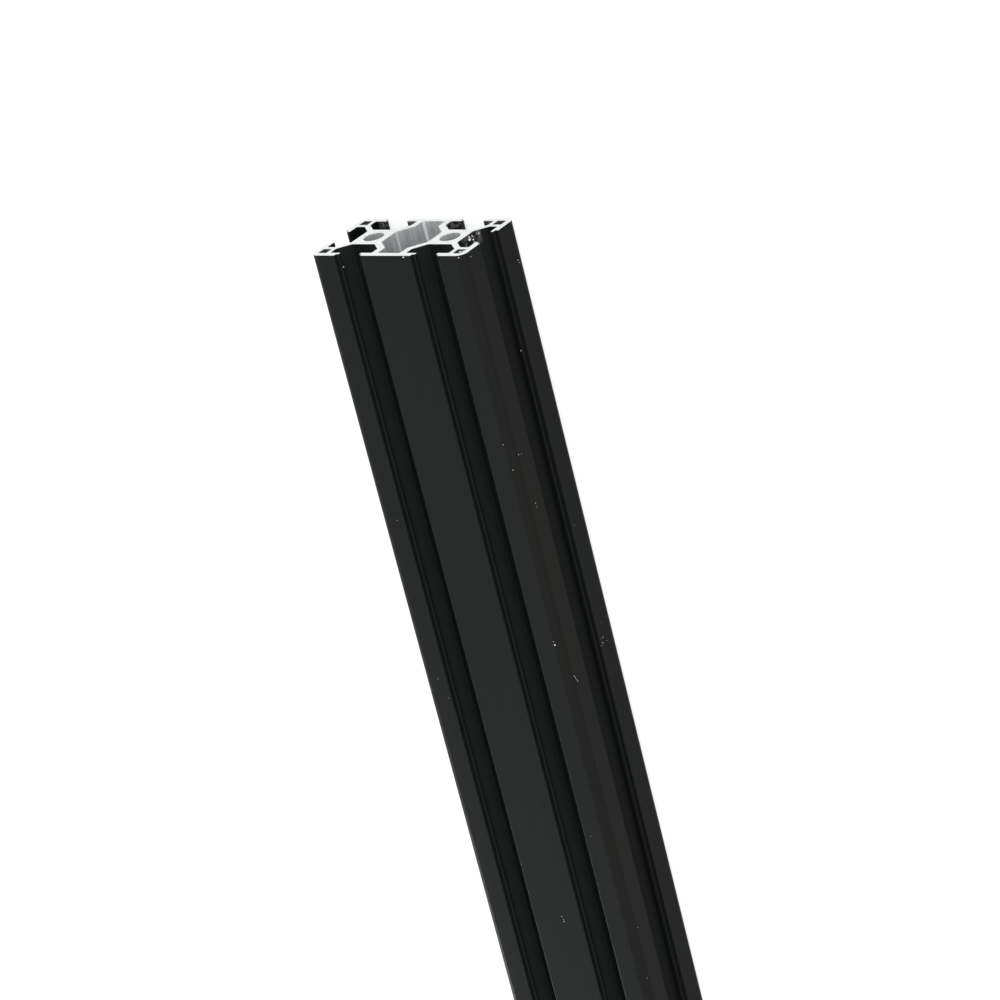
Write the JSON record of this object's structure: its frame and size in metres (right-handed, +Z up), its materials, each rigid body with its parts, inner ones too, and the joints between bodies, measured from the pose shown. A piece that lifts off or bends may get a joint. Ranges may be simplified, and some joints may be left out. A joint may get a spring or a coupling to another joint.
{
  "type": "aluminium T-slot extrusion profile",
  "caption": "Black anodised aluminium T-slot bar of 60 by 30 mm section, with open slots on every face, round screw cores and a bare sawn end.",
  "frame": {"origin": "middle of the wide face that the bar lies on", "axes": "+X along the bar towards the end that the picture shows, +Y across the wide face, +Z up, out of the upper wide face"},
  "size_m": [0.5, 0.06, 0.03],
  "materials": {
    "black_anodised": "satin black anodised with faint die lines, bare metal on the sawn ends",
    "bare_aluminium": "bare metal of the sawn ends and of the chips that the saw left"
  },
  "bodies": {
    "root": {"profile_bar": "black_anodised"}
  },
  "joints": []
}
